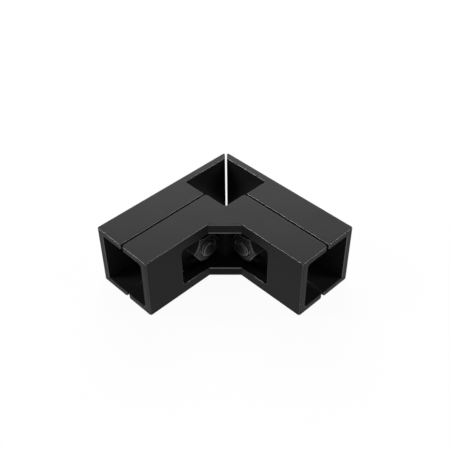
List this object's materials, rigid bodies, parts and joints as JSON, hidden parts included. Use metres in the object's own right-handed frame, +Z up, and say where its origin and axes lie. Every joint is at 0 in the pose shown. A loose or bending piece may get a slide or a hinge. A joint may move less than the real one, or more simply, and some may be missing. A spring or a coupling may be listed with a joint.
{
  "type": "three way corner connector",
  "caption": "Split clamp corner connector that joins three square tubes at right angles, closed by a screw and nut across each horizontal arm.",
  "frame": {"origin": "on the upright socket's axis, level with the bottom faces of the castings", "axes": "+X along the left arm, +Y along the right arm, +Z up along the upright socket; left and right are as seen from the inside corner, from +X and +Y looking at the origin"},
  "size_m": [0.0776, 0.0776, 0.031],
  "materials": {
    "casting": "black satin powder coat with a fine texture on die-cast zinc",
    "fastener": "blackened steel, slightly oiled"
  },
  "bodies": {
    "root": {"inner_shell": "casting", "left_outer_shell": "casting", "right_outer_shell": "casting", "left_clamp_screw": "fastener", "right_clamp_screw": "fastener", "left_clamp_nut": "fastener", "right_clamp_nut": "fastener"}
  },
  "joints": []
}
